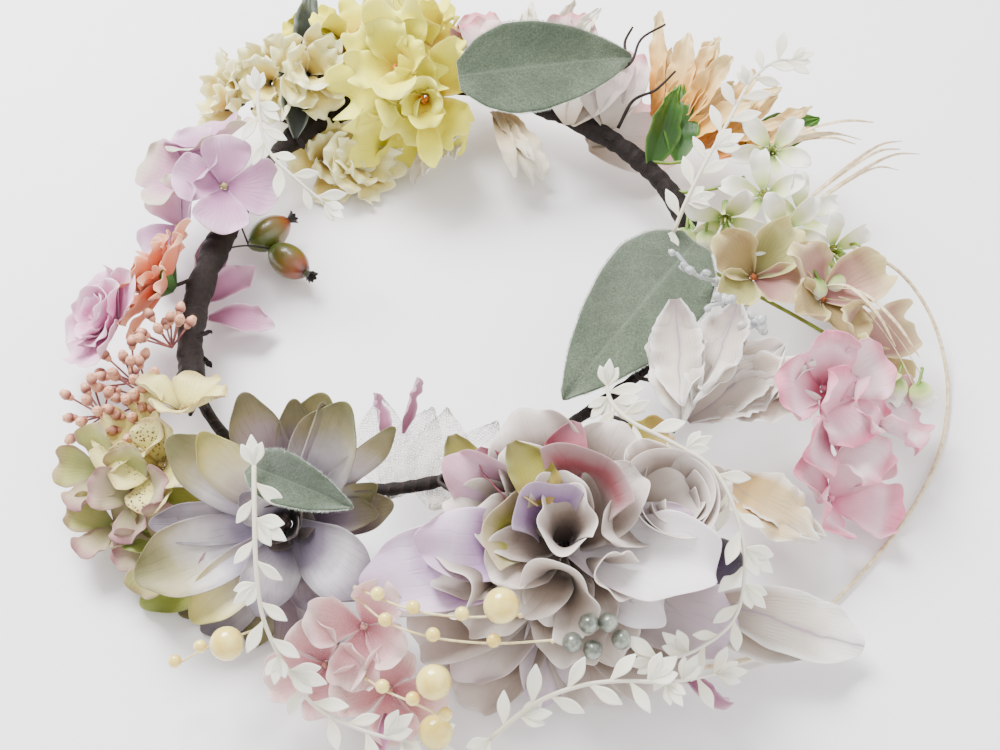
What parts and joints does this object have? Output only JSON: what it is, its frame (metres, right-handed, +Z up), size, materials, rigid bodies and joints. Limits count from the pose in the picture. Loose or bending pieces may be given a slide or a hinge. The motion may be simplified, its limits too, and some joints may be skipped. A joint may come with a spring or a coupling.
{
  "type": "flower crown",
  "caption": "Ring-shaped flower crown: a taped wire hoop carrying fabric blooms, velvety leaves, ivory vines, berries and pearls round an open middle.",
  "frame": {"origin": "middle of the head opening, in the plane of the ring wire", "axes": "+Z up out of the head opening as the crown lies on a table, +X to the side with the lily bells, -Y to the side with the two large blooms"},
  "size_m": [0.312, 0.325, 0.07],
  "materials": {
    "core_wire": "dull",
    "floral_tape": "waxed crepe",
    "brown_stem": "waxed crepe",
    "green_stem": "satin",
    "yellow_petal": "soft",
    "throat": "flocked",
    "cream_petal": "soft",
    "calyx": "satin",
    "blush_petal": "soft",
    "dried_ribbon": "dry",
    "twig": "bark",
    "velvet_leaf": "velvet",
    "dark_leaf": "satin",
    "green_leaf": "satin",
    "pink_petal": "soft",
    "coral_petal": "soft",
    "pale_pink_petal": "soft",
    "mauve_petal": "soft",
    "rosehip": "satin lacquer",
    "dark_wire": "dull",
    "berry": "satin",
    "berry_stalk": "satin",
    "cream_sepal": "dry",
    "olive_sepal": "soft",
    "lilac_petal": "soft",
    "greige_petal": "satin",
    "white_petal": "satin",
    "tinted_petal": "satin",
    "purple_petal": "satin",
    "glitter_petal": "glittered",
    "silver_berry": "metallic",
    "skeleton_veil": "translucent",
    "thread": "smooth",
    "pearl": "pearl",
    "ivory_vine": "satin",
    "white_feather": "dry",
    "right_pink_petal": "dry",
    "olive_hydrangea_petal": "soft",
    "crystal": "clear",
    "waxy_white": "waxy",
    "raffia": "dry"
  },
  "bodies": {
    "root": {"frame_wire": "core_wire", "ring_tape": "floral_tape", "tape_wrap_left": "floral_tape", "tape_wrap_top_left": "floral_tape", "tape_wrap_top_right": "floral_tape", "brown_stems": "brown_stem", "green_stems": "green_stem", "yellow_petals": "yellow_petal", "yellow_throats": "throat", "cream_petals": "cream_petal", "calyxes": "calyx", "blush_petals": "blush_petal", "dried_ribbons": "dried_ribbon", "brown_twigs": "twig", "velvet_leaf_top": "velvet_leaf", "velvet_leaf_right": "velvet_leaf", "velvet_leaf_front": "velvet_leaf", "dark_leaves": "dark_leaf", "green_leaves": "green_leaf", "pink_hydrangea": "pink_petal", "coral_petals": "coral_petal", "pink_double": "pale_pink_petal", "mauve_petals": "mauve_petal", "rosehips": "rosehip", "rosehip_wires": "dark_wire", "berry_beads": "berry", "berry_stalks": "berry_stalk", "cream_hydrangea": "cream_sepal", "olive_sepals": "olive_sepal", "lilac_dahlia_outer": "lilac_petal", "lilac_dahlia_middle": "lilac_petal", "lilac_dahlia_inner": "lilac_petal", "lilac_dahlia_heart": "lilac_petal", "greige_rose_outer": "greige_petal", "greige_rose_middle": "greige_petal", "greige_rose_inner": "greige_petal", "greige_rose_heart": "greige_petal", "greige_whorl": "greige_petal", "purple_bud": "purple_petal", "broad_petals": "white_petal", "tinted_petals": "tinted_petal", "glitter_hydrangea": "glitter_petal", "pink_curls": "mauve_petal", "silver_berries": "silver_berry", "skeleton_leaves": "skeleton_veil", "pearl_threads": "thread", "small_pearls": "pearl", "large_pearls": "pearl", "ivory_vine_left": "ivory_vine", "ivory_vines_right": "ivory_vine", "ivory_sprig": "ivory_vine", "ivory_vine_back": "ivory_vine", "white_feathers": "white_feather", "pink_hydrangea_right": "right_pink_petal", "olive_hydrangea": "olive_hydrangea_petal", "crystal_sprigs": "crystal", "waxy_stars": "waxy_white", "lily_bells": "waxy_white", "raffia_curls": "raffia", "raffia_loop": "raffia"}
  },
  "joints": []
}
